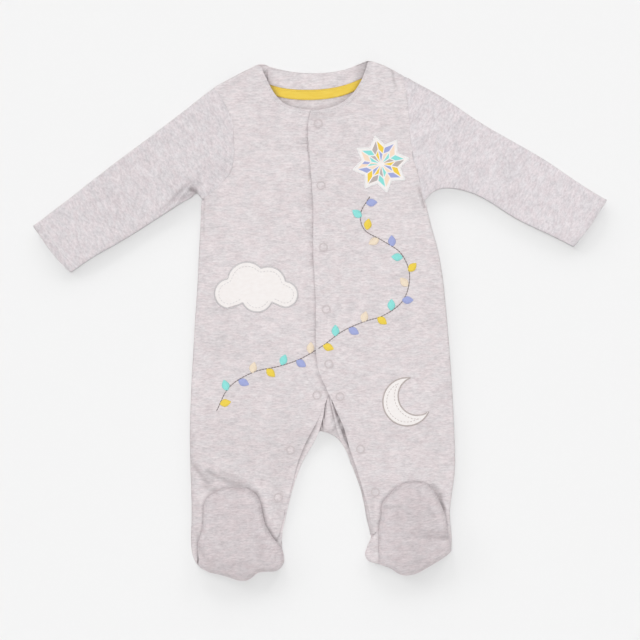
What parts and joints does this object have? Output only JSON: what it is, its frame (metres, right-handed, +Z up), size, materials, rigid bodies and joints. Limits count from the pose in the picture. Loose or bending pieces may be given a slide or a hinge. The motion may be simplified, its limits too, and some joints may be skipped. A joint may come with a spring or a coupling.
{
  "type": "footed baby sleepsuit",
  "caption": "Long-sleeved footed baby sleepsuit in grey marl cotton jersey, laid flat on its back with the feet folded up, fastened with poppers down the front and along both inner legs.",
  "frame": {"origin": "Middle of the garment's outline on the surface that its back lies on.", "axes": "+X runs to the wearer's left sleeve, +Y from the feet up to the neck, +Z up out of the front of the garment."},
  "size_m": [0.6227, 0.5652, 0.0124],
  "materials": {
    "jersey": "grey marl cotton jersey, matt and softly brushed",
    "neck_tape": "yellow cotton twill tape",
    "applique": "white cotton jersey with coloured stitching",
    "popper": "grey enamelled ring over a dished, cloth-coloured middle"
  },
  "bodies": {
    "root": {"back": "jersey", "front_right": "jersey", "front_left": "jersey", "sleeve_right": "jersey", "sleeve_left": "jersey", "neck_band": "jersey", "neck_tape": "neck_tape", "foot_sole_right": "jersey", "foot_sole_left": "jersey", "foot_upper_right": "jersey", "foot_upper_left": "jersey", "applique_cloud": "applique", "applique_star": "applique", "applique_moon": "applique", "popper_01": "popper", "popper_02": "popper", "popper_03": "popper", "popper_04": "popper", "popper_05": "popper", "popper_06": "popper", "popper_07": "popper", "popper_08": "popper", "popper_09": "popper", "popper_10": "popper", "popper_11": "popper"}
  },
  "joints": []
}
